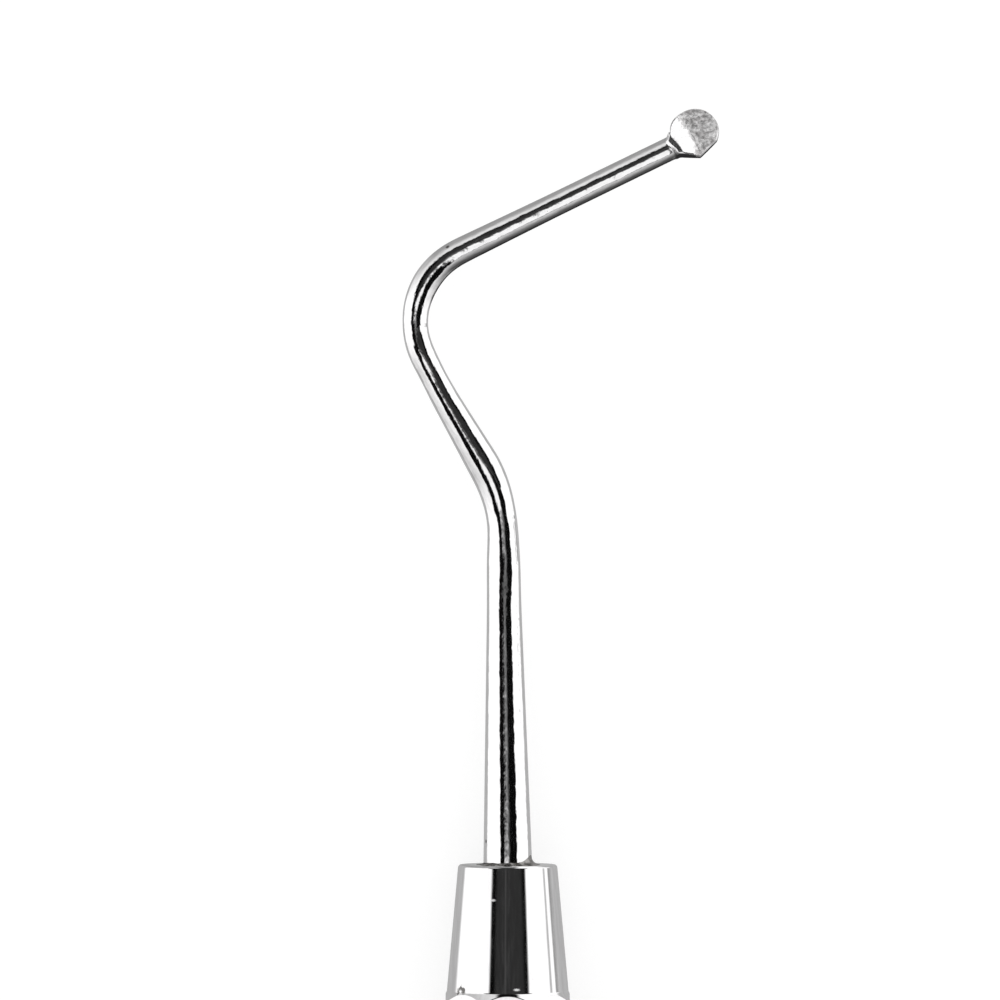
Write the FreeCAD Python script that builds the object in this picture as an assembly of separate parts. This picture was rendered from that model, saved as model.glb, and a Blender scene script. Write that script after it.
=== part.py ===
import FreeCAD, Part
import os
from math import cos, pi, radians, sin, tan
from FreeCAD import Placement, Rotation, Vector

# A double-ended dental spoon excavator, in millimetres. The handle is one octagonal bar,
# turned to a cone at each end and drilled. A forged steel working end is brazed into each
# socket: a straight tang, a long tapered shank bent in one plane, and a small round spoon.
# The two ends are a left and a right hand, so each is the other reflected through the
# centre of the handle.
# The handle lies along Y. The origin is in the middle of the flat that it rests on.

# Octagonal bar
flat_count = 8
across_flats = 6.0
bar_length = 84.0
bar_edge_radius = 0.2

# Turned nose at each end of the bar
nose_length = 6.15
mouth_diameter = 4.84
nose_step = 0.04
corner_bevel_angle = 30.0
mouth_edge_break = 0.1

# Drilled socket that takes the tang, and the braze that fills it
socket_depth = 12.0
drill_point_angle = 118.0
braze_gap = 0.05
braze_well = 0.15
braze_fillet_width = 0.26
braze_fillet_height = 0.32
braze_bead_radius = 0.27
braze_bead_height = 0.47

# Tang, the part of the rod that stays as it was drawn, and stands a little out of the mouth
rod_diameter = 2.35
tang_end_bevel = 0.3
tang_lead = 0.5

# Shank, from the tang outwards: straight runs, and bends to the left (+) or right (-)
lean_turn = 0.8
lean_radius = 60.0
long_run = 14.63
lower_bend_turn = 28.6
lower_bend_radius = 6.97
lower_bend_diameter = 1.58
middle_run = 5.89
elbow_turn = -93.4
elbow_radius = 3.82
elbow_diameter = 1.32
last_taper = 5.0
neck_diameter = 1.15
last_run = 7.8

# Spoon, in its own frame: X' along the last run, Y' across it and Z' out of the face,
# with the centre of its rim at X' = 0
spoon_radius = 1.155
spoon_thickness = 0.85
spoon_side_offset = 0.135
spoon_roll = -18.0
back_radius = 1.8
widest_depth = 0.22
rim_draft = 7.0
upper_neck_angle = 161.0
toe_angle = -50.0
heel_setback = 0.31
heel_depth = 1.26
lower_neck_setback = 1.38
lower_neck_depth = 0.78
face_height = 0.2
crest_height = 0.42
crest_setback = 1.12
ramp_foot_setback = 0.26
hollow_depth = 0.04
hollow_radius = 0.62
hollow_lead = 0.42

flat_distance = across_flats / 2
corner_radius = flat_distance / cos(pi / flat_count)
axis_height = flat_distance
rod_radius = rod_diameter / 2
socket_radius = rod_radius + braze_gap
mouth_radius = mouth_diameter / 2
nose_root_radius = flat_distance - nose_step
mouth_reach = bar_length / 2 + nose_length
up = Vector(0, 0, 1)


def turned(profile):
    """A solid of revolution about the Y axis, from points (radius, Y)."""
    corners = [Vector(radius, y, 0) for radius, y in profile + profile[:1]]
    face = Part.Face(Part.makePolygon(corners))
    return face.revolve(Vector(0, 0, 0), Vector(0, 1, 0), 360)


def octagonal_bar():
    """The drawn bar, with flats facing up, down and to the sides and its long edges rounded."""
    corners = []
    for index in range(flat_count + 1):
        angle = (index + 0.5) * 2 * pi / flat_count
        corners.append(Vector(corner_radius * cos(angle), -mouth_reach, corner_radius * sin(angle)))
    bar = Part.Face(Part.makePolygon(corners)).extrude(Vector(0, 2 * mouth_reach, 0))
    long_edges = [edge for edge in bar.Edges if edge.Length > mouth_reach]
    return bar.makeFillet(bar_edge_radius, long_edges)


def lathe_work():
    """What the lathe leaves: a cone at each end, and a bevel that cuts the bar's corners."""
    clear_radius = corner_radius + flat_distance / 10
    bevel_run = (clear_radius - nose_root_radius) / tan(radians(corner_bevel_angle))
    half = [
        (0, mouth_reach),
        (mouth_radius - mouth_edge_break, mouth_reach),
        (mouth_radius, mouth_reach - mouth_edge_break),
        (nose_root_radius, mouth_reach - nose_length),
        (clear_radius, mouth_reach - nose_length - bevel_run),
    ]
    other_half = [(radius, -y) for radius, y in reversed(half)]
    return turned(half + other_half)


def socket():
    """The drilled hole and its countersink, with the mouth at Y = 0."""
    point_depth = socket_radius / tan(radians(drill_point_angle / 2))
    return turned([
        (0, 0),
        (socket_radius + braze_well, 0),
        (socket_radius, -braze_well),
        (socket_radius, -socket_depth),
        (0, -socket_depth - point_depth),
    ])


def handle():
    """The bar and the lathe work, with a socket in each end."""
    upper_socket = socket()
    upper_socket.translate(Vector(0, mouth_reach, 0))
    lower_socket = upper_socket.mirror(Vector(0, 0, 0), Vector(0, 1, 0))
    body = octagonal_bar().common(lathe_work()).cut(upper_socket).cut(lower_socket)
    body.translate(Vector(0, 0, axis_height))
    return body.removeSplitter()


class Rod:
    """A round rod that grows from the tang: it keeps the point, heading and size of its end."""

    def __init__(self):
        self.point = Vector(0, tang_lead, 0)
        self.heading = 90.0
        self.diameter = rod_diameter
        self.pieces = []

    def section(self):
        """A circle square to the rod at its end, with its seam on top."""
        along = Vector(cos(radians(self.heading)), sin(radians(self.heading)), 0)
        ring = Part.Wire(Part.makeCircle(self.diameter / 2))
        ring.Placement = Placement(self.point, Rotation(up, up.cross(along), along, "ZXY"))
        return ring

    def run(self, length, end_diameter):
        """A straight stretch, a cylinder or a cone: a ruled skin between two circles."""
        start = self.section()
        along = Vector(cos(radians(self.heading)), sin(radians(self.heading)), 0)
        self.point = self.point + along * length
        self.diameter = end_diameter
        self.pieces.append(Part.makeLoft([start, self.section()], True, True))

    def bend(self, turn, radius):
        """An arc of one size: the end circle swung about the centre of the bend."""
        side = 1 if turn > 0 else -1
        normal = Vector(-sin(radians(self.heading)), cos(radians(self.heading)), 0)
        centre = self.point + normal * (side * radius)
        self.pieces.append(Part.Face(self.section()).revolve(centre, up * side, abs(turn)))
        self.point = centre + Rotation(up, turn).multVec(self.point - centre)
        self.heading += turn


def bent_rod():
    """The shank from the end of the tang to the middle of the spoon."""
    rod = Rod()
    rod.bend(lean_turn, lean_radius)
    rod.run(long_run, lower_bend_diameter)
    rod.bend(lower_bend_turn, lower_bend_radius)
    rod.run(middle_run, elbow_diameter)
    rod.bend(elbow_turn, elbow_radius)
    rod.run(last_taper, neck_diameter)
    rod.run(last_run, neck_diameter)
    return rod


def rim_outline(inset, height):
    """The rim seen from above the face: round, with a flat ground at the toe and a straight heel."""
    radius = spoon_radius - inset

    def on_rim(angle):
        return Vector(radius * cos(radians(angle)), radius * sin(radians(angle)), height)

    neck = on_rim(upper_neck_angle)
    toe = on_rim(toe_angle)
    heel = Vector(-heel_setback, inset - heel_depth, height)
    lower_neck = Vector(-lower_neck_setback, inset - lower_neck_depth, height)
    return Part.Wire([
        Part.Arc(neck, on_rim((upper_neck_angle + toe_angle) / 2), toe).toShape(),
        Part.LineSegment(toe, heel).toShape(),
        Part.LineSegment(heel, lower_neck).toShape(),
        Part.LineSegment(lower_neck, neck).toShape(),
    ])


def spoon_blank():
    """The forged blade: widest a little under its face, with a back that is part of a ball."""
    crest_inset = (widest_depth + crest_height) * tan(radians(rim_draft))
    rim = Part.makeLoft([rim_outline(0, -widest_depth), rim_outline(crest_inset, crest_height)], True, True)
    below = Part.Face(rim_outline(0, -widest_depth)).extrude(Vector(0, 0, widest_depth - spoon_thickness))
    ball = Part.makeSphere(back_radius, Vector(0, 0, back_radius - spoon_thickness))
    return rim.fuse(below).common(ball)


def grinding():
    """What the wheel takes away: the flat face, the ramp from it to the neck, and the hollow."""
    far = 4 * spoon_radius
    profile = Part.makePolygon([
        Vector(-ramp_foot_setback, -far, 0),
        Vector(-crest_setback, -far, crest_height),
        Vector(-crest_setback, -far, far),
        Vector(far, -far, far),
        Vector(far, -far, 0),
        Vector(-ramp_foot_setback, -far, 0),
    ])
    face = Part.Face(profile).extrude(Vector(0, 2 * far, 0))
    ball_radius = (hollow_radius ** 2 + hollow_depth ** 2) / (2 * hollow_depth)
    ball = Part.makeSphere(ball_radius, Vector(hollow_lead, 0, ball_radius - hollow_depth))
    slice_size = 4 * hollow_radius
    thin_slice = Part.makeBox(slice_size, slice_size, hollow_depth)
    thin_slice.translate(Vector(hollow_lead - slice_size / 2, -slice_size / 2, -hollow_depth))
    return face.fuse(ball.common(thin_slice))


def working_end():
    """Tang, shank and spoon in one piece, with the mouth of the socket at Y = 0."""
    tang = turned([
        (0, tang_lead),
        (rod_radius, tang_lead),
        (rod_radius, tang_end_bevel - socket_depth),
        (rod_radius - tang_end_bevel, -socket_depth),
        (0, -socket_depth),
    ])
    rod = bent_rod()
    heading_turn = Rotation(up, rod.heading)
    roll = Rotation(Vector(1, 0, 0), spoon_roll)
    face_frame = Placement(rod.point, heading_turn.multiply(roll))
    face_frame = face_frame.multiply(Placement(Vector(0, spoon_side_offset, face_height), Rotation()))
    blade = spoon_blank()
    blade.Placement = face_frame
    cutter = grinding()
    cutter.Placement = face_frame
    blank = tang
    for piece in rod.pieces + [blade]:
        blank = blank.fuse(piece)
    return blank.removeSplitter().cut(cutter)


def braze(piece):
    """Braze round the tang, a small fillet at the mouth, and one bead that ran out of it."""
    ring = turned([
        (0, -socket_depth),
        (socket_radius, -socket_depth),
        (socket_radius, -braze_well),
        (socket_radius + braze_well, 0),
        (rod_radius + braze_fillet_width, 0),
        (rod_radius + braze_fillet_width / 4, braze_fillet_height / 3),
        (rod_radius - braze_gap, braze_fillet_height),
        (0, braze_fillet_height),
    ])
    bead = turned([
        (0, 0),
        (braze_bead_radius, 0),
        (braze_bead_radius, braze_bead_height / 2),
        (braze_bead_radius / 2, braze_bead_height),
        (0, braze_bead_height),
    ])
    bead.translate(Vector(rod_radius, 0, 0))
    return ring.fuse(bead).cut(piece).removeSplitter()


def at_upper_mouth(shape):
    """Moves a piece from the mouth at Y = 0 to the mouth of the handle's +Y end."""
    moved = shape.copy()
    moved.translate(Vector(0, mouth_reach, axis_height))
    return moved


def through_centre(shape):
    """The same piece of the other end: reflected through the middle of the handle."""
    centre = Vector(0, 0, axis_height)
    reflected = shape.mirror(centre, Vector(0, 1, 0))
    reflected.rotate(centre, Vector(0, 1, 0), 180)
    return reflected


os.makedirs("parts", exist_ok=True)
end_piece = working_end()
upper_end = at_upper_mouth(end_piece)
upper_braze = at_upper_mouth(braze(end_piece))
nodes = {
    "handle": handle(),
    "upper_working_end": upper_end,
    "upper_braze_fillet": upper_braze,
    "lower_working_end": through_centre(upper_end),
    "lower_braze_fillet": through_centre(upper_braze),
}
for name, shape in nodes.items():
    shape.exportStep(f"parts/{name}.step")
    print(name, len(shape.Solids), "solid, valid", shape.isValid(), "volume", round(shape.Volume, 3))
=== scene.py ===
import math

import bmesh
import bpy
import numpy as np
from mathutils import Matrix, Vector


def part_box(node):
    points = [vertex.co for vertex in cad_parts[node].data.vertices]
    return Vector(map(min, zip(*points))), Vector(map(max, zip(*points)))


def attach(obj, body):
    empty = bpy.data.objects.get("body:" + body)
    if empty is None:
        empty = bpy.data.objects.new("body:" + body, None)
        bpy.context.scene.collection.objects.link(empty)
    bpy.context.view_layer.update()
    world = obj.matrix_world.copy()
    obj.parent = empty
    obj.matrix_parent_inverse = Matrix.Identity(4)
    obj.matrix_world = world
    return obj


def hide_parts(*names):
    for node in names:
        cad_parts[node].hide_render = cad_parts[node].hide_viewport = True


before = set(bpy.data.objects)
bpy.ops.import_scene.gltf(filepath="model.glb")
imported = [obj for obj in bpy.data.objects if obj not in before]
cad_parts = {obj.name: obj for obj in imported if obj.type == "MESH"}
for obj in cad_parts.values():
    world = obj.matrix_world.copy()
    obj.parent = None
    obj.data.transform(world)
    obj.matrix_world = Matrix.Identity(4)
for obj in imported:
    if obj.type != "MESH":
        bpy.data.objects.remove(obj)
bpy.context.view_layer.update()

# A double-ended dental spoon excavator, lying on a flat of its handle. It is put together here as
# it is on the bench: the handle, the two forged working ends, and the braze that holds them.
# Sizes are in millimetres, and a mesh is scaled to metres when it is made.

# Handle
# One bar of stainless steel, octagonal where it is held and turned to a cone at each end, with
# its corners bevelled where the cone begins. It is drilled at both ends and polished like a mirror.
millimetre = 0.001
low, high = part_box("handle")
across_flats = (high.z - low.z) / millimetre
mouth_reach = high.y / millimetre
axis_height = across_flats / 2
flat_count = 8
bar_edge_radius = 0.2
nose_length = 6.12
nose_step = 0.055
mouth_diameter = 4.8
mouth_edge_break = 0.09
corner_bevel_angle = 30.0
socket_diameter = 2.45
socket_depth = 12.0
socket_countersink = 0.15
drill_point_angle = 118.0
polished_steel_colour = (0.96, 0.955, 0.96, 1.0)
hazy_steel_colour = (0.89, 0.88, 0.885, 1.0)
# Colour of the stains, and of the dark reflection painted on the upper cone
stain_and_painted_reflection_colour = (0.16, 0.155, 0.15, 1.0)
# Places on the upper cone in metres: a dark spot painted as a reflection, and two painted glints,
# where the steel is made non-metal and shows bright
painted_reflection_place = (-0.00222, 0.04205, 0.00485)
painted_reflection_reach = (0.0006, 0.0006, 0.0006)
painted_reflection_share = 0.36
painted_glint_places = ((-0.00074, 0.04652, 0.0055), (0.00043, 0.04223, 0.00585))
painted_glint_reach = (0.00022, 0.00009, 0.0002)
painted_glint_share = 0.75


def new_surface(name, points, places=None):
    """A closed mesh through a grid of points in millimetres, rows by columns by 3. Each row is a
    ring, and the first and last rows close to a point or a seam. Where places are given, they are
    kept on the mesh as the attribute unbent_place."""
    rows, columns = points.shape[:2]
    index = np.arange(rows * columns).reshape(rows, columns)
    across = np.roll(index, -1, axis=1)
    faces = np.stack([index[:-1], across[:-1], across[1:], index[1:]], axis=-1).reshape(-1, 4)
    mesh = bpy.data.meshes.new(name)
    mesh.from_pydata((points.reshape(-1, 3) * millimetre).tolist(), [], faces.tolist())
    if places is not None:
        attribute = mesh.attributes.new("unbent_place", "FLOAT_VECTOR", "POINT")
        attribute.data.foreach_set("vector", places.reshape(-1).astype(np.float32))
    merge_distance = 0.0002 * millimetre
    made = bmesh.new()
    made.from_mesh(mesh)
    bmesh.ops.remove_doubles(made, verts=made.verts, dist=merge_distance)
    bmesh.ops.recalc_face_normals(made, faces=made.faces)
    made.to_mesh(mesh)
    made.free()
    mesh.shade_smooth()
    piece = bpy.data.objects.new(name, mesh)
    bpy.context.scene.collection.objects.link(piece)
    return piece


def eased_profile(corners, ease, steps=6):
    """Rounds the corners of a profile. Every corner b is left ease short of it on both sides, at a
    and c, and joined by the curve (1-t)(1-t)a + 2t(1-t)b + ttc. A row close outside a and c keeps
    the shading of the straight stretches flat."""
    largest_share = 0.3
    outside = 1.4
    share = np.linspace(0, 1, steps)[:, None, None]
    rows = [corners[:1]]
    for before, corner, after in zip(corners[:-2], corners[1:-1], corners[2:]):
        to_before = before - corner
        to_after = after - corner
        length_before = np.linalg.norm(to_before, axis=-1, keepdims=True)
        length_after = np.linalg.norm(to_after, axis=-1, keepdims=True)
        reach = np.minimum(ease, largest_share * np.minimum(length_before, length_after))
        step_before = to_before / length_before * reach
        step_after = to_after / length_after * reach
        start = corner + step_before
        end = corner + step_after
        rows.append((corner + step_before * outside)[None])
        rows.append((1 - share) ** 2 * start + 2 * share * (1 - share) * corner + share ** 2 * end)
        rows.append((corner + step_after * outside)[None])
    rows.append(corners[-1:])
    return np.concatenate(rows)


def handle_points():
    """The handle as a profile carried round its axis. At each angle the bar's radius is that of an
    octagon with rounded corners: d / cos(a) on a flat, and on a corner the far side of a circle.
    The bevel cuts it at the Y where the bevel's cone is as wide as the bar."""
    flat_distance = across_flats / 2
    half_flat = math.pi / flat_count
    corner_place = (flat_distance - bar_edge_radius) / math.cos(half_flat)
    tangent = math.atan((flat_distance - bar_edge_radius) * math.tan(half_flat) / flat_distance)
    beside = math.radians(0.35)
    corner_columns = 5
    flat_columns = 37
    one_flat = np.concatenate([
        np.linspace(-half_flat, -tangent, corner_columns),
        np.linspace(-tangent + beside, tangent - beside, flat_columns),
        np.linspace(tangent, half_flat, corner_columns)[:-1],
    ])
    turns = np.arange(flat_count)[:, None] * 2 * half_flat
    angle = (turns + one_flat[None]).reshape(-1)
    local = np.tile(one_flat, flat_count)
    from_corner = half_flat - np.abs(local)
    inside_root = np.maximum(bar_edge_radius ** 2 - (corner_place * np.sin(from_corner)) ** 2, 0)
    on_corner = corner_place * np.cos(from_corner) + np.sqrt(inside_root)
    bar = np.where(np.abs(local) < tangent, flat_distance / np.cos(local), on_corner)

    mouth_radius = mouth_diameter / 2
    socket_radius = socket_diameter / 2
    root_radius = flat_distance - nose_step
    point_depth = socket_radius / math.tan(math.radians(drill_point_angle / 2))
    bevel_slope = math.tan(math.radians(corner_bevel_angle))
    root = mouth_reach - nose_length
    same = np.ones_like(angle)
    crease = root - (bar - root_radius) / bevel_slope
    half = np.array([
        [0 * same, (mouth_reach - socket_depth - point_depth) * same],
        [socket_radius * same, (mouth_reach - socket_depth) * same],
        [socket_radius * same, (mouth_reach - socket_countersink) * same],
        [(socket_radius + socket_countersink) * same, mouth_reach * same],
        [(mouth_radius - mouth_edge_break) * same, mouth_reach * same],
        [mouth_radius * same, (mouth_reach - mouth_edge_break) * same],
        [root_radius * same, root * same],
        [bar, crease],
    ]).transpose(0, 2, 1)
    middle_share = 0.9
    middle_rows = 19
    shares = np.linspace(middle_share, -middle_share, middle_rows)
    middle = np.array([[bar, share * root * same] for share in shares]).transpose(0, 2, 1)
    other_half = half[::-1] * np.array([1, -1])
    ease = 0.03
    profile = np.concatenate([
        eased_profile(np.concatenate([half, middle[:1]]), ease),
        middle[1:-1],
        eased_profile(np.concatenate([middle[-1:], other_half]), ease),
    ])
    radius, along = profile[..., 0], profile[..., 1]
    return np.stack([radius * np.cos(angle), along, axis_height + radius * np.sin(angle)], axis=-1)


class Shader:
    """Builds a tree of shader nodes. A value given to it is a number or the output of a node."""

    def __init__(self, tree):
        self.tree = tree

    def add(self, kind, inputs=None, **settings):
        """Adds a node with these settings and inputs, and returns it."""
        node = self.tree.nodes.new(kind)
        for key, value in settings.items():
            setattr(node, key, value)
        for key, value in (inputs or {}).items():
            self.feed(node.inputs[key], value)
        return node

    def feed(self, socket, value):
        """Links an output to the socket, or sets the socket to a number or colour."""
        if isinstance(value, bpy.types.NodeSocket):
            self.tree.links.new(value, socket)
        else:
            socket.default_value = value

    def math(self, operation, first, second=0.0, third=0.0):
        inputs = {0: first, 1: second, 2: third}
        return self.add("ShaderNodeMath", inputs, operation=operation).outputs[0]

    def product(self, first, second):
        return self.math("MULTIPLY", first, second)

    def ramp(self, value, low_end, high_end, low_value=0.0, high_value=1.0):
        """Goes smoothly from low_value at low_end to high_value at high_end."""
        inputs = {"Value": value, "From Min": low_end, "From Max": high_end,
                  "To Min": low_value, "To Max": high_value}
        node = self.add("ShaderNodeMapRange", inputs, interpolation_type="SMOOTHSTEP")
        return node.outputs["Result"]

    def noise(self, place, scale, detail, seed=0.0):
        """Noise between 0 and 1, with one scale or with a scale for each axis."""
        if isinstance(scale, tuple):
            place = self.stretched(place, scale)
            scale = 1.0
        inputs = {"Vector": place, "W": seed, "Scale": scale, "Detail": detail}
        return self.add("ShaderNodeTexNoise", inputs, noise_dimensions="4D").outputs["Fac"]

    def stretched(self, place, scale):
        return self.add("ShaderNodeMapping", {"Vector": place, "Scale": scale}).outputs["Vector"]

    def blend(self, share, first, second):
        """The colour first where share is 0, and second where it is 1."""
        node = self.add("ShaderNodeMix", data_type="RGBA")
        self.feed(node.inputs[0], share)
        self.feed(node.inputs[6], first)
        self.feed(node.inputs[7], second)
        return node.outputs[2]

    def mix(self, share, first, second):
        """The value first where share is 0, and second where it is 1."""
        change = self.math("SUBTRACT", second, first)
        return self.math("MULTIPLY_ADD", share, change, first)

    def total(self, *terms):
        """The sum of terms, each a pair: value and factor."""
        height = self.math("MULTIPLY", *terms[0])
        for value, factor in terms[1:]:
            height = self.math("MULTIPLY_ADD", value, factor, height)
        return height

    def spot(self, place, centre, reach):
        """1 near the centre, falling to 0 at the reach from it along each axis."""
        inputs = {0: place, 1: centre}
        from_centre = self.add("ShaderNodeVectorMath", inputs, operation="SUBTRACT").outputs[0]
        shares = self.stretched(from_centre, tuple(1 / length for length in reach))
        away = self.add("ShaderNodeVectorMath", {0: shares}, operation="LENGTH").outputs["Value"]
        full_within = 0.3
        return self.ramp(away, full_within, 1.0, 1.0, 0.0)

    def bump(self, height, distance=1.0):
        inputs = {"Height": height, "Distance": distance}
        return self.add("ShaderNodeBump", inputs).outputs["Normal"]


def new_metal(name):
    """A material with a metal surface, and the shader that builds it."""
    material = bpy.data.materials.new(name)
    material.use_nodes = True
    surface = material.node_tree.nodes["Principled BSDF"]
    surface.inputs["Metallic"].default_value = 1.0
    return material, Shader(material.node_tree), surface


def handle_steel():
    """Mirror-polished steel with the fine lines that the polishing left along the bar, and random
    stains. On the upper cone one dark spot is painted as a reflection, and two painted glints are
    spots that lose their metal and show bright."""
    material, shader, surface = new_metal("handle_steel")
    place = shader.add("ShaderNodeTexCoord").outputs["Object"]
    lines = shader.noise(place, (9000.0, 120.0, 9000.0), detail=3.0)
    waves = shader.noise(place, (700.0, 160.0, 700.0), detail=1.0, seed=4.0)
    stains = shader.noise(place, 2400.0, detail=3.0, seed=9.0)
    # Over the random stains, a dark spot on the upper cone is painted as a reflection
    near_painted_reflection = shader.spot(place, painted_reflection_place, painted_reflection_reach)
    dark_share = shader.math("MULTIPLY_ADD", near_painted_reflection, painted_reflection_share, stains)
    dark_share = shader.ramp(dark_share, 0.73, 0.83)
    # Two spots on the upper cone are painted glints: the steel loses most of its metal there, so
    # they show bright
    painted_glints = 0.0
    for painted_glint_place in painted_glint_places:
        painted_glint = shader.spot(place, painted_glint_place, painted_glint_reach)
        painted_glints = shader.math("MULTIPLY_ADD", painted_glint, painted_glint_share, painted_glints)
    haze = shader.noise(place, (3600.0, 500.0, 3600.0), detail=3.0, seed=12.0)
    clean = shader.blend(shader.ramp(haze, 0.4, 0.62), polished_steel_colour, hazy_steel_colour)
    shader.feed(surface.inputs["Base Color"], shader.blend(dark_share, clean, stain_and_painted_reflection_colour))
    shader.feed(surface.inputs["Metallic"], shader.math("SUBTRACT", 1.0, painted_glints))
    shader.feed(surface.inputs["Roughness"], shader.ramp(lines, 0.3, 0.75, 0.03, 0.1))
    height = shader.total((lines, 0.0000002), (waves, 0.0000012))
    shader.feed(surface.inputs["Normal"], shader.bump(height))
    return material


handle = new_surface("octagonal_handle", handle_points())
handle.data.materials.append(handle_steel())
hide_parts("handle")
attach(handle, "root")

# Working ends
# Each is forged from one rod of hard stainless steel: a straight tang that goes into the socket, a
# long tapered shank bent in one plane, and a small round spoon. The shank is polished, and the
# spoon's face is left as the grinding wheel cut it. The lower end is the other hand of the upper.
rod_diameter = 2.35
tang_end_bevel = 0.3
# Stretches from the end of the tang to the middle of the spoon: length, and turn in degrees
stretches = np.array([
    (socket_depth, 0.0),
    (0.84, 0.8),
    (15.02, 0.0),
    (3.76, 29.5),
    (3.24, 0.0),
    (1.32, -3.3),
    (1.31, 0.0),
    (5.96, -91.0),
    (12.8, 0.0),
])
bend_softness = 0.35
# Diameters of the shank at distances from the mouth of the socket
shank_diameters = np.array([
    (-socket_depth, rod_diameter),
    (0, rod_diameter),
    (0.5, 2.33),
    (16.2, 1.46),
    (17.1, 1.44),
    (19.5, 1.62),
    (22.3, 1.39),
    (24.3, 1.25),
    (25.7, 1.29),
    (27.2, 1.18),
    (29.3, 1.33),
    (31.9, 1.26),
    (34.5, 1.19),
    (36.5, 1.15),
    (45.0, 1.13),
])
diameter_softness = 0.3
# Where the forging pressed the shank flat: distance, width along the rod, flattening and its side
forged_flats = ((14.6, 1.4, 0.06, 7.0), (18.2, 1.6, 0.03, 10.0), (27.5, 1.5, 0.03, -20.0))
# Spoon. A setback or lead is a distance behind or ahead of its middle, along the rod
spoon_radius = 1.155
spoon_thickness = 0.85
spoon_side_offset = 0.19
spoon_face_height = 0.2
spoon_roll = -18.0
rim_bulge = 0.02
widest_depth = 0.22
toe_flat_angle = -50.0
heel_setback = 0.31
heel_depth = 1.25
lower_neck_setback = 1.38
lower_neck_depth = 0.72
neck_start = 1.9
# Crest at the end of the shank, which stands above the spoon's face, and the ramp down from it
crest_setback = 1.14
crest_slant = 0.3
crest_slant_reach = (-0.6, 0.05)
crest_length = 0.19
crest_height = 0.45
crest_middle = -0.16
crest_reach = 0.3
crest_softness = 0.03
ramp_foot_setback = 0.24
ramp_foot_softness = 0.05
step_length = 0.22
side_blend = (-1.6, -1.25)
# Rounded rim and shallow hollow of the face, and its ground surface
rim_round_width = 0.09
rim_round_drop = 0.05
hollow_depth = 0.04
hollow_radius = 0.75
hollow_lead = 0.35
face_dark_colour = (0.6, 0.585, 0.585, 1.0)
face_bright_colour = (1.0, 0.99, 0.99, 1.0)
wheel_mark_turn = 0.45
ground_edge = (-0.12, -0.08)
ground_fade = 0.18
ground_line_side = 0.2
ground_line_curve = 0.2
ground_line_raggedness = 0.7
# The shank grows less even between two distances from the middle of the spoon
uneven_between = (-28.0, -18.0)
unevenness_range = (0.6, 2.2)
neck_dulls_between = (-1.7, -1.35)
neck_dullness = 0.14
# Pits on the shank: distance from the middle of the spoon, to the left of the rod's middle, and up
pit_places = ((-43.1, 0.66, 0.61), (-13.15, 0.13, 0.38))
pit_reach = (0.13, 0.13, 0.13)


def blurred(values, spread):
    """A sampled line after a bell-shaped blur, spread samples wide, with its ends held."""
    reach = int(4 * spread)
    bell = np.exp(-0.5 * (np.arange(-reach, reach + 1) / spread) ** 2)
    held = np.pad(values, reach, mode="edge")
    return np.convolve(held, bell / bell.sum(), mode="valid")


def smooth_step(value, start, end):
    """Goes from 0 to 1 between start and end as 3tt - 2ttt."""
    share = np.clip((value - start) / (end - start), 0, 1)
    return share * share * (3 - 2 * share)


def soft_least(first, second, softness):
    """The smaller of two values, with the corner between them rounded over about softness."""
    gap = first - second
    return 0.5 * (first + second - np.sqrt(gap * gap + softness * softness))


def shank_line(stations):
    """Point, heading and diameter of the rod at distances from the mouth. The heading changes in
    proportion to the distance along each bend, softened where a bend begins and ends, and the
    point is the sum of the steps taken along it."""
    step = 0.02
    length = stretches[:, 0].sum() + 2 * spoon_radius
    distance = np.arange(0, length, step)
    knots = np.concatenate([[0], np.cumsum(stretches[:, 0])])
    headings = 90.0 + np.concatenate([[0], np.cumsum(stretches[:, 1])])
    heading = np.radians(blurred(np.interp(distance, knots, headings), bend_softness / step))
    steps = np.stack([np.cos(heading), np.sin(heading)], axis=-1) * step
    path = np.cumsum(steps, axis=0) - steps[:1] - np.array([0, socket_depth])
    from_mouth = distance - socket_depth
    diameter = np.interp(from_mouth, shank_diameters[:, 0], shank_diameters[:, 1])
    diameter = blurred(diameter, diameter_softness / step)
    point = np.stack([np.interp(stations, from_mouth, path[:, axis]) for axis in (0, 1)], axis=-1)
    heading = np.interp(stations, from_mouth, heading)
    diameter = np.interp(stations, from_mouth, diameter)
    return point, heading, diameter


def rim_sides(forward):
    """How far the spoon's rim stands to the left and right of its middle: on a circle, with a flat
    from the toe to the heel and a straight edge from the heel to the neck on its right."""
    circle = np.sqrt(np.maximum(spoon_radius ** 2 - forward ** 2, 0))
    toe = math.radians(toe_flat_angle)
    corners = np.array([
        (-2 * spoon_radius, lower_neck_depth),
        (-lower_neck_setback, lower_neck_depth),
        (-heel_setback, heel_depth),
        (spoon_radius * math.cos(toe), -spoon_radius * math.sin(toe)),
    ])
    straight = np.interp(forward, corners[:, 0], corners[:, 1])
    return circle, np.where(forward < corners[-1, 0], straight, circle)


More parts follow.
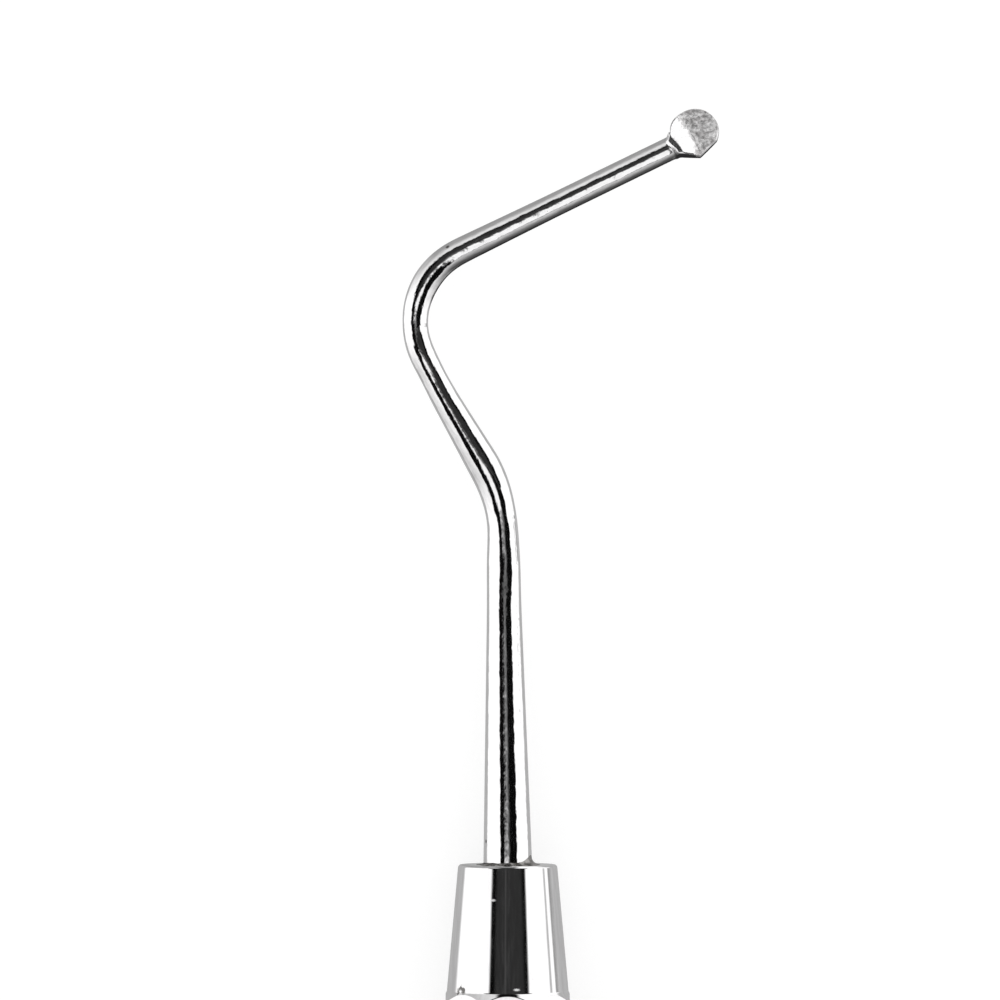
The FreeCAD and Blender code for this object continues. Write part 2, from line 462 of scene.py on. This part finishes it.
def working_end_points():
    """Rings of 96 points square to the rod. On the shank a ring is a circle. Over the neck it
    blends into the spoon's section: a face that is flat from rim to rim, a short wall that leans
    out to the widest line, and a back that is part of a ball."""
    half_columns = 48
    sweep = np.linspace(0, math.pi, half_columns, endpoint=False) + math.pi / half_columns / 2
    spoon_middle = stretches[1:, 0].sum()
    row_spacing = 0.08
    neck_row_count = 70
    toe_row_count = 40

    bevel_rows = np.array([0, 0, tang_end_bevel]) - socket_depth
    shank_rows = np.arange(1 - socket_depth, spoon_middle - neck_start, row_spacing)
    neck_rows = spoon_middle + np.linspace(-neck_start, 0, neck_row_count)
    toe_sweep = np.linspace(0, math.pi / 2, toe_row_count)[1:]
    toe_rows = spoon_middle + spoon_radius * np.sin(toe_sweep)
    stations = np.concatenate([bevel_rows, shank_rows, neck_rows, toe_rows])
    point, heading, diameter = shank_line(stations)
    radius = diameter / 2
    radius[0] = 0
    radius[1] -= tang_end_bevel
    forward = stations - spoon_middle

    # Circle of the shank, with its top half first
    circle_side = np.concatenate([np.cos(sweep), -np.cos(sweep)])[None] * radius[:, None]
    circle_rise = np.concatenate([np.sin(sweep), -np.sin(sweep)])[None] * radius[:, None]
    turn = np.concatenate([sweep, sweep + math.pi])[None]
    swell = np.zeros((len(stations), 2 * half_columns))
    for distance, reach, flattening, side_turn in forged_flats:
        bell = np.exp(-((stations - distance) / reach) ** 2)[:, None]
        swell += flattening * bell * np.cos(2 * (turn + math.radians(side_turn)))
    circle_side = circle_side * (1 + swell)
    circle_rise = circle_rise * (1 + swell)

    # Section of the spoon: face from left to right, wall, back, and wall again
    left, right = rim_sides(forward)
    left = np.where(forward < 0, np.maximum(left, radius - spoon_side_offset), left)
    middle = (left - right) / 2
    half_width = (left + right) / 2
    across_face = np.cos(sweep)
    face_side = middle[:, None] + half_width[:, None] * across_face[None]
    crest_start = crest_setback + crest_slant * np.clip(face_side, *crest_slant_reach)
    ramp_slope = crest_height / (crest_start - ramp_foot_setback)
    ramp = (-forward[:, None] - ramp_foot_setback) * ramp_slope
    face_rise = -soft_least(-ramp, np.zeros_like(ramp), ramp_foot_softness)
    face_rise = soft_least(face_rise, np.full_like(ramp, crest_height), crest_softness)
    from_hollow = face_side ** 2 + (forward[:, None] - hollow_lead) ** 2
    hollow_share = np.clip(1 - from_hollow / hollow_radius ** 2, 0, 1)
    face_rise = face_rise - hollow_depth * hollow_share
    from_rim = half_width[:, None] * (1 - np.abs(across_face))[None]
    face_rise = face_rise - rim_round_drop * np.clip(1 - from_rim / rim_round_width, 0, 1) ** 2
    wall_columns = 6
    wall = np.linspace(0, 1, wall_columns, endpoint=False) + 0.5 / wall_columns
    wall_out = rim_bulge * np.sin(wall * math.pi / 2)
    back_columns = half_columns - 2 * wall_columns
    back_sweep = np.linspace(0, math.pi, back_columns, endpoint=False) + math.pi / back_columns / 2
    widest_radius = spoon_radius + rim_bulge
    reach_forward = np.minimum(np.abs(forward), spoon_radius) / widest_radius
    bottom = -widest_depth - (spoon_thickness - widest_depth) * (1 - reach_forward ** 2)
    squareness = 0.8
    back_out = np.abs(np.cos(back_sweep)) ** squareness * np.sign(np.cos(back_sweep))
    back_down = np.sin(back_sweep) ** squareness
    wide = half_width[:, None] * widest_radius / spoon_radius
    left_rim = face_rise[:, [0]]
    right_rim = face_rise[:, [-1]]
    left_wall_rise = left_rim + (-widest_depth - left_rim) * wall[None]
    right_wall_rise = right_rim + (-widest_depth - right_rim) * wall[None]
    wall_wide = half_width[:, None] * (1 + wall_out[None] / spoon_radius)
    right_wall = middle[:, None] - wall_wide
    left_wall = middle[:, None] + wall_wide
    ahead = np.maximum(forward, 0)[:, None]
    face_ahead = np.zeros_like(face_side)
    wall_ahead = ahead * wall_out[None] / spoon_radius
    back_ahead = np.broadcast_to(ahead * rim_bulge / spoon_radius, (len(forward), back_columns))
    spoon_ahead = np.concatenate([face_ahead, wall_ahead, back_ahead, wall_ahead[:, ::-1]], axis=1)
    back_side = middle[:, None] - wide * back_out[None]
    back_rise = -widest_depth + (bottom[:, None] + widest_depth) * back_down[None]
    sides = [face_side, right_wall, back_side, left_wall[:, ::-1]]
    rises = [face_rise, right_wall_rise, back_rise, left_wall_rise[:, ::-1]]
    spoon_side = np.concatenate(sides, axis=1) + spoon_side_offset
    spoon_rise = np.concatenate(rises, axis=1) + spoon_face_height

    # The shank steps up to the crest, which grows shorter towards its left end
    from_middle = spoon_side - spoon_side_offset
    leftward = np.maximum(from_middle - crest_middle, 0) / crest_reach
    crest_here = crest_length * np.exp(-leftward ** 4)
    before_crest = forward[:, None] + crest_slant * np.clip(from_middle, *crest_slant_reach)
    before_crest = before_crest + crest_here
    share = smooth_step(before_crest, -crest_setback - step_length, -crest_setback)
    side_share = smooth_step(forward, *side_blend)[:, None]
    side = circle_side + (spoon_side - circle_side) * side_share
    rise = circle_rise + (spoon_rise - circle_rise) * share
    roll = math.radians(spoon_roll)
    left_way = np.stack([-np.sin(heading), np.cos(heading)], axis=-1)[:, None]
    level = side * math.cos(roll) - rise * math.sin(roll)
    height = side * math.sin(roll) + rise * math.cos(roll)
    forward_way = np.stack([np.cos(heading), np.sin(heading)], axis=-1)[:, None]
    plan = point[:, None] + left_way * level[..., None] + forward_way * spoon_ahead[..., None]
    points = np.concatenate([plan, height[..., None]], axis=-1)
    points = points + np.array([0, mouth_reach, axis_height])
    along = forward[:, None] + spoon_ahead
    places = np.stack([along, side - spoon_side_offset, rise - spoon_face_height], axis=-1)
    return points, places


def working_end_steel(name, seed):
    """Polished steel, uneven along the shank from the forging, and ground on the spoon's face. Its
    places are in millimetres along, across and above the rod as it was before it was bent."""
    material, shader, surface = new_metal(name)
    place = shader.add("ShaderNodeAttribute", attribute_name="unbent_place").outputs["Vector"]
    forward, side, rise = shader.add("ShaderNodeSeparateXYZ", {"Vector": place}).outputs
    # The ground face lies in front of a curved line across the spoon, and above its rim
    ragged = shader.noise(place, 5.0, detail=4.0, seed=seed)
    from_line = shader.math("ADD", side, ground_line_side)
    curve = shader.product(from_line, from_line)
    line = shader.total((curve, ground_line_curve), (ragged, ground_line_raggedness))
    line = shader.math("ADD", line, forward)
    on_top = shader.ramp(rise, *ground_edge)
    ground = shader.product(shader.ramp(line, 0.0, ground_fade), on_top)
    # Marks of the wheel run across the face, and grains stand between them
    inputs = {"Vector": place, "Rotation": (0.0, 0.0, wheel_mark_turn)}
    turned = shader.add("ShaderNodeMapping", inputs).outputs["Vector"]
    marks = shader.noise(turned, (1.6, 4.4, 3.0), detail=5.0, seed=seed + 1)
    grains = shader.noise(place, 6.0, detail=3.0, seed=seed + 2)
    # Lines along the shank, and the unevenness that breaks up its reflections
    lines = shader.noise(place, (0.7, 22.0, 22.0), detail=3.0, seed=seed + 3)
    waves = shader.noise(place, (1.2, 2.6, 2.6), detail=3.0, seed=seed + 4)
    ripples = shader.noise(place, (1.5, 3.4, 3.4), detail=2.0, seed=seed + 6)
    dents = shader.noise(place, (0.6, 0.9, 0.9), detail=1.0, seed=seed + 8)
    unevenness = shader.ramp(forward, *uneven_between, *unevenness_range)
    stains = shader.noise(place, 3.4, detail=1.0, seed=seed + 5)
    dark_share = shader.ramp(stains, 0.8, 0.83)
    for pit_place in pit_places:
        dark_share = shader.math("MAXIMUM", dark_share, shader.spot(place, pit_place, pit_reach))
    haze = shader.noise(place, (1.8, 6.0, 6.0), detail=3.0, seed=seed + 7)
    clean = shader.blend(shader.ramp(haze, 0.4, 0.62), polished_steel_colour, hazy_steel_colour)
    base = shader.blend(dark_share, clean, stain_and_painted_reflection_colour)
    face_tone = shader.blend(shader.ramp(marks, 0.34, 0.6), face_dark_colour, face_bright_colour)
    shader.feed(surface.inputs["Base Color"], shader.blend(ground, base, face_tone))
    ground_metal = shader.ramp(grains, 0.35, 0.7, 0.86, 0.45)
    shader.feed(surface.inputs["Metallic"], shader.mix(ground, 1.0, ground_metal))
    polished_roughness = shader.ramp(lines, 0.3, 0.75, 0.02, 0.09)
    neck_roughness = shader.ramp(forward, *neck_dulls_between, 0.0, neck_dullness)
    polished_roughness = shader.math("ADD", polished_roughness, neck_roughness)
    ground_roughness = shader.ramp(grains, 0.3, 0.7, 0.34, 0.56)
    roughness = shader.mix(ground, polished_roughness, ground_roughness)
    shader.feed(surface.inputs["Roughness"], roughness)
    polished_height = shader.total((lines, 0.0000005), (waves, 0.000009), (dents, 0.000012))
    polished_height = shader.product(polished_height, unevenness)
    polished_height = shader.math("MULTIPLY_ADD", ripples, 0.00001, polished_height)
    ground_height = shader.total((marks, 0.000015), (grains, 0.000015))
    height = shader.mix(ground, polished_height, ground_height)
    shader.feed(surface.inputs["Normal"], shader.bump(height))
    return material


def through_centre(points):
    """The other end of the instrument: points reflected through the middle of the handle."""
    centre = np.array([0, 0, axis_height])
    return 2 * centre - points


end_points, end_places = working_end_points()
two_ends = (("upper", end_points, 2.0), ("lower", through_centre(end_points), 14.0))
for hand, hand_points, seed in two_ends:
    working_end = new_surface(f"{hand}_forged_end", hand_points, end_places)
    working_end.data.materials.append(working_end_steel(f"{hand}_end_steel", seed))
    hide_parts(f"{hand}_working_end")
    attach(working_end, "root")

# Braze fillets
# Silver braze that ran round the tang. It fills the gap in the socket, and stands at the mouth as
# a dull, uneven ring with one bead, where the most of it came out.
braze_width = 0.2
braze_height = 0.16
bead_width = 0.24
bead_height = 0.42
bead_angle = 0.35
bead_spread = 0.34
flare_width = 0.16
flare_drop = 0.04
flare_angle = math.pi - 0.1
flare_spread = 0.35
# Waves of the ring: size, how many there are round it, and where they start
ring_waves = ((0.012, 5, 1.0), (0.01, 9, 0.0), (0.006, 17, 2.0))
braze_colour = (0.36, 0.35, 0.34, 1.0)
braze_dark_colour = (0.07, 0.066, 0.06, 1.0)


def braze_points():
    """A ring carried round the rod. Its width and height at each angle are a base plus two bell
    shapes, the bead on the right and a lower flare on the left, and small waves."""
    columns = 240
    angle = np.linspace(0, 2 * math.pi, columns, endpoint=False)
    from_bead = (angle - bead_angle + math.pi) % (2 * math.pi) - math.pi
    from_flare = (angle - flare_angle + math.pi) % (2 * math.pi) - math.pi
    bead = np.exp(-0.5 * (from_bead / bead_spread) ** 2)
    flare = np.exp(-0.5 * (from_flare / flare_spread) ** 2)
    waves = sum(size * np.sin(count * angle + start) for size, count, start in ring_waves)
    width = braze_width + bead_width * bead + flare_width * flare + waves
    height = braze_height + bead_height * bead - flare_drop * flare + waves
    rod_radius = rod_diameter / 2
    socket_radius = socket_diameter / 2
    same = np.ones_like(angle)
    sunk = 0.02
    edge_height = 0.02
    sleeve_end = 0.1 - socket_depth
    fillet_rows = 12
    hollowness = 1.2
    rows = [
        [(rod_radius - sunk) * same, sleeve_end * same],
        [socket_radius * same, sleeve_end * same],
        [socket_radius * same, -socket_countersink * same],
        [(socket_radius + socket_countersink) * same, 0 * same],
        [rod_radius + width, 0 * same],
    ]
    for turn in np.linspace(0.08, 1, fillet_rows) * math.pi / 2:
        rows.append([
            rod_radius - sunk + (width + sunk) * (1 - math.sin(turn)) ** hollowness,
            edge_height + height * (1 - math.cos(turn)),
        ])
    rows.append(rows[0])
    radius, along = np.array(rows).transpose(1, 0, 2)
    return np.stack([
        radius * np.cos(angle),
        mouth_reach + along,
        axis_height + radius * np.sin(angle),
    ], axis=-1)


def braze_metal():
    """Dull silver braze, darkened by the flame in patches."""
    material, shader, surface = new_metal("braze_metal")
    place = shader.add("ShaderNodeTexCoord").outputs["Object"]
    patches = shader.ramp(shader.noise(place, 2600.0, detail=3.0), 0.4, 0.6)
    colour = shader.blend(patches, braze_dark_colour, braze_colour)
    shader.feed(surface.inputs["Base Color"], colour)
    shader.feed(surface.inputs["Roughness"], shader.ramp(patches, 0.0, 1.0, 0.45, 0.3))
    grains = shader.noise(place, 5200.0, detail=3.0, seed=3.0)
    grain_height = 0.00003
    shader.feed(surface.inputs["Normal"], shader.bump(grains, grain_height))
    return material


ring_points = braze_points()
ring_metal = braze_metal()
for hand, hand_points in (("upper", ring_points), ("lower", through_centre(ring_points))):
    ring = new_surface(f"{hand}_braze_ring", hand_points)
    ring.data.materials.append(ring_metal)
    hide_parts(f"{hand}_braze_fillet")
    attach(ring, "root")

# Floor
# A plain pale sheet that the instrument lies on.
floor_size = 4.0
floor_colour = (0.46, 0.46, 0.46, 1.0)
floor_seen_colour = (0.4, 0.4, 0.4, 1.0)
floor_seen_lift = 0.67


def floor_material():
    """Pale and matt. To the camera it is a white ground that keeps the shadow."""
    material = bpy.data.materials.new("pale_floor")
    material.use_nodes = True
    tree = material.node_tree
    tree.nodes.remove(tree.nodes["Principled BSDF"])
    shader = Shader(tree)
    path = shader.add("ShaderNodeLightPath")
    plain = shader.add("ShaderNodeBsdfDiffuse", {"Color": floor_colour}).outputs[0]
    seen = shader.add("ShaderNodeBsdfDiffuse", {"Color": floor_seen_colour}).outputs[0]
    lift = shader.add("ShaderNodeEmission", {"Strength": floor_seen_lift}).outputs[0]
    white = shader.add("ShaderNodeAddShader", {0: seen, 1: lift}).outputs[0]
    both = shader.add("ShaderNodeMixShader", {0: path.outputs["Is Camera Ray"], 1: plain, 2: white})
    tree.links.new(both.outputs[0], tree.nodes["Material Output"].inputs["Surface"])
    return material


corner = floor_size / 2
floor_mesh = bpy.data.meshes.new("floor")
floor_mesh.from_pydata(
    [(-corner, -corner, 0), (corner, -corner, 0), (corner, corner, 0), (-corner, corner, 0)],
    [], [(0, 1, 2, 3)])
floor = bpy.data.objects.new("floor", floor_mesh)
bpy.context.scene.collection.objects.link(floor)
floor.data.materials.append(floor_material())
floor.visible_glossy = False

# Light
# A white tent with panels at the left and right, open above in a long dark slot. A light box hangs
# over the near side of the slot, the far end is grey, and the near end falls off to dark.
# Angles are in degrees: east and north of straight up, down from straight up, and round from east.
# A stretch of an angle is its start, its end and the softness of both.
slot_left = -47.0
slot_left_step = 12.0
slot_left_step_north = (-7.0, 12.0, 5.0)
slot_right = 48.0
slot_right_step = -7.0
slot_right_step_north = (6.5, 13.5, 2.5)
slot_softness = 2.5
slot_north = (-46.0, 44.5, 4.0)
slot_level = 0.002
bevel_slot_round = (72.0, 108.0, 4.0)
bevel_slot_down = (40.0, 78.0, 4.0)
# The glow in the slot is narrow at the near side, and grows wide and faint towards the far side
glow_turn_north = (3.0, 7.0)
glow_left = (-4.0, -25.0)
glow_left_softness = 4.0
glow_right = (9.0, 32.0)
glow_right_softness = 5.0
glow_fade_north = (2.5, 7.5)
glow_levels = (0.16, 0.024)
glow_north = (-8.0, 36.0, 6.0)
glow_line_east = (-6.0, -3.0, 1.5)
glow_line_start_north = (4.0, 7.0)
glow_line_level = 0.03
box_left = -14.0
box_left_slant = -0.4
box_right = 4.0
box_right_slant = 0.65
box_softness = 3.0
box_north = (-43.0, -0.5, 3.0)
box_level = 1.0
# Panels at the sides, and what is seen below them
panel_level = 1.15
panel_low_down = (112.0, 122.0)
panel_starts = (55.0, 65.0)
panel_full = (5.0, 25.0)
north_east_round = (5.0, 90.0, 5.0)
below_level = 0.46
dark_below_level = 0.02
near_below_round = (-130.0, -50.0, 12.0)
deep_round = (-130.0, -15.0, 6.0)
deep_down = (128.0, 140.0)
far_below_round = (95.0, 132.0, 5.0)
far_below_level = 0.33
# The two ends, and what the mouth of the cone faces
ends_meet_north = (-0.2, 0.2)
near_end_down = (20.0, 108.0)
near_end_levels = (0.85, 0.08)
near_end_low_down = (110.0, 140.0)
far_end_down = (60.0, 96.0)
far_end_levels = (0.8, 0.36)
far_end_low_down = (104.0, 122.0)
far_end_round = (72.0, 98.0)
mouth_round = (78.0, 106.0, 4.0)
mouth_down = (80.0, 104.0, 2.0)
mouth_level = 0.25
card_round = (2.4, 8.0, 0.6)
card_top_down = (103.0, 107.0)
card_fall_down = (110.0, 122.0)
card_levels = (0.33, 0.5)
card_line_down = (89.0, 95.0, 2.0)
card_line_level = 0.5
world = bpy.data.worlds.new("tent")
world.use_nodes = True
world.node_tree.nodes.clear()
bpy.context.scene.world = world
sky = Shader(world.node_tree)


def past(angle, edge, softness):
    """Goes from 0 to 1 where the angle passes the edge."""
    return sky.ramp(sky.math("SUBTRACT", angle, edge), -softness, softness)


def between(angle, start, end, softness):
    """1 where the angle lies between start and end, and 0 outside."""
    return sky.product(past(angle, start, softness), past(end, angle, softness))


direction = sky.add("ShaderNodeTexCoord").outputs["Generated"]
east, north, zenith = sky.add("ShaderNodeSeparateXYZ", {"Vector": direction}).outputs
in_degrees = 180 / math.pi
angle_east = sky.product(sky.math("ARCTAN2", east, zenith), in_degrees)
angle_north = sky.product(sky.math("ARCTAN2", north, zenith), in_degrees)
angle_down = sky.product(sky.math("ARCCOSINE", zenith), in_degrees)
angle_round = sky.product(sky.math("ARCTAN2", north, east), in_degrees)
from_side = sky.math("PINGPONG", angle_round, 90.0)
# The ring of the tent's walls: panels at the sides, and the two ends
below = sky.mix(between(angle_round, *near_below_round), below_level, dark_below_level)
deep = sky.product(between(angle_round, *deep_round), sky.ramp(angle_down, *deep_down))
below = sky.mix(deep, below, dark_below_level)
below = sky.mix(between(angle_round, *far_below_round), below, far_below_level)
panel = sky.mix(sky.ramp(angle_down, *panel_low_down), panel_level, below)
near_end = sky.ramp(angle_down, *near_end_down, *near_end_levels)
near_end = sky.mix(sky.ramp(angle_down, *near_end_low_down), near_end, below)
far_end = sky.ramp(angle_down, *far_end_down, *far_end_levels)
far_end = sky.mix(sky.ramp(angle_round, *far_end_round), panel_level, far_end)
far_end = sky.mix(sky.ramp(angle_down, *far_end_low_down), far_end, below)
facing_mouth = sky.product(between(angle_round, *mouth_round), between(angle_down, *mouth_down))
far_end = sky.mix(facing_mouth, far_end, mouth_level)
end = sky.mix(sky.ramp(north, *ends_meet_north), near_end, far_end)
north_east = between(angle_round, *north_east_round)
panel_start = sky.mix(north_east, *panel_starts)
panel_share = sky.ramp(from_side, panel_start, sky.mix(north_east, *panel_full))
walls = sky.mix(panel_share, end, panel)
# A grey card stands low on the right, with a thin gap of light over it and a line above that
at_card = between(angle_round, *card_round)
card_tone = sky.ramp(angle_down, *card_fall_down, *card_levels)
walls = sky.mix(sky.product(at_card, sky.ramp(angle_down, *card_top_down)), walls, card_tone)
card_line = sky.product(at_card, between(angle_down, *card_line_down))
walls = sky.mix(card_line, walls, card_line_level)
# The slot above, with the glow in it, and the light box
left_step = between(angle_north, *slot_left_step_north)
right_step = between(angle_north, *slot_right_step_north)
left_end = sky.math("MULTIPLY_ADD", left_step, slot_left_step, slot_left)
right_end = sky.math("MULTIPLY_ADD", right_step, slot_right_step, slot_right)
slot = between(angle_east, left_end, right_end, slot_softness)
slot = sky.product(slot, between(angle_north, *slot_north))
bevel_slot = between(angle_round, *bevel_slot_round)
bevel_slot = sky.product(bevel_slot, between(angle_down, *bevel_slot_down))
slot = sky.math("MAXIMUM", slot, bevel_slot)
glow_start = sky.ramp(angle_north, *glow_turn_north, *glow_left)
glow_end = sky.ramp(angle_north, *glow_turn_north, *glow_right)
glow = sky.product(past(angle_east, glow_start, glow_left_softness),
                   past(glow_end, angle_east, glow_right_softness))
glow = sky.product(glow, sky.ramp(angle_north, *glow_fade_north, *glow_levels))
glow_line = between(angle_east, *glow_line_east)
glow_line = sky.product(glow_line, sky.ramp(angle_north, *glow_line_start_north))
glow = sky.math("MULTIPLY_ADD", glow_line, glow_line_level, glow)
glow = sky.math("MULTIPLY_ADD", glow, between(angle_north, *glow_north), slot_level)
above = sky.mix(slot, walls, glow)
from_left = sky.math("MULTIPLY_ADD", angle_north, box_left_slant, angle_east)
from_right = sky.math("MULTIPLY_ADD", angle_north, box_right_slant, angle_east)
box = sky.product(past(from_left, box_left, box_softness),
                  past(box_right, from_right, box_softness))
box = sky.product(box, between(angle_north, *box_north))
seen_level = sky.mix(box, above, box_level)
tent = sky.add("ShaderNodeBackground", {"Color": (1.0, 1.0, 1.0, 1.0), "Strength": seen_level})
even = sky.add("ShaderNodeBackground", {"Color": (1.0, 1.0, 1.0, 1.0), "Strength": 1.0})
ray = sky.add("ShaderNodeLightPath")
both = sky.add("ShaderNodeMixShader",
               {0: ray.outputs["Is Glossy Ray"], 1: even.outputs[0], 2: tent.outputs[0]})
sky.add("ShaderNodeOutputWorld", {"Surface": both.outputs[0]})

# Camera
# It looks straight down on the upper half of the instrument, which shows upright.
picture_width = 48.4
picture_centre = (-0.37, 65.79)
camera_distance = 440.0
sensor_width = 36.0
camera_data = bpy.data.cameras.new("camera")
camera_data.sensor_width = sensor_width
camera_data.lens = sensor_width * camera_distance / picture_width
camera_data.clip_start = 0.01
camera = bpy.data.objects.new("camera", camera_data)
camera.location = (
    picture_centre[0] * millimetre,
    picture_centre[1] * millimetre,
    (axis_height + camera_distance) * millimetre,
)
bpy.context.scene.collection.objects.link(camera)
bpy.context.scene.camera = camera
bpy.context.scene.view_settings.view_transform = "Standard"
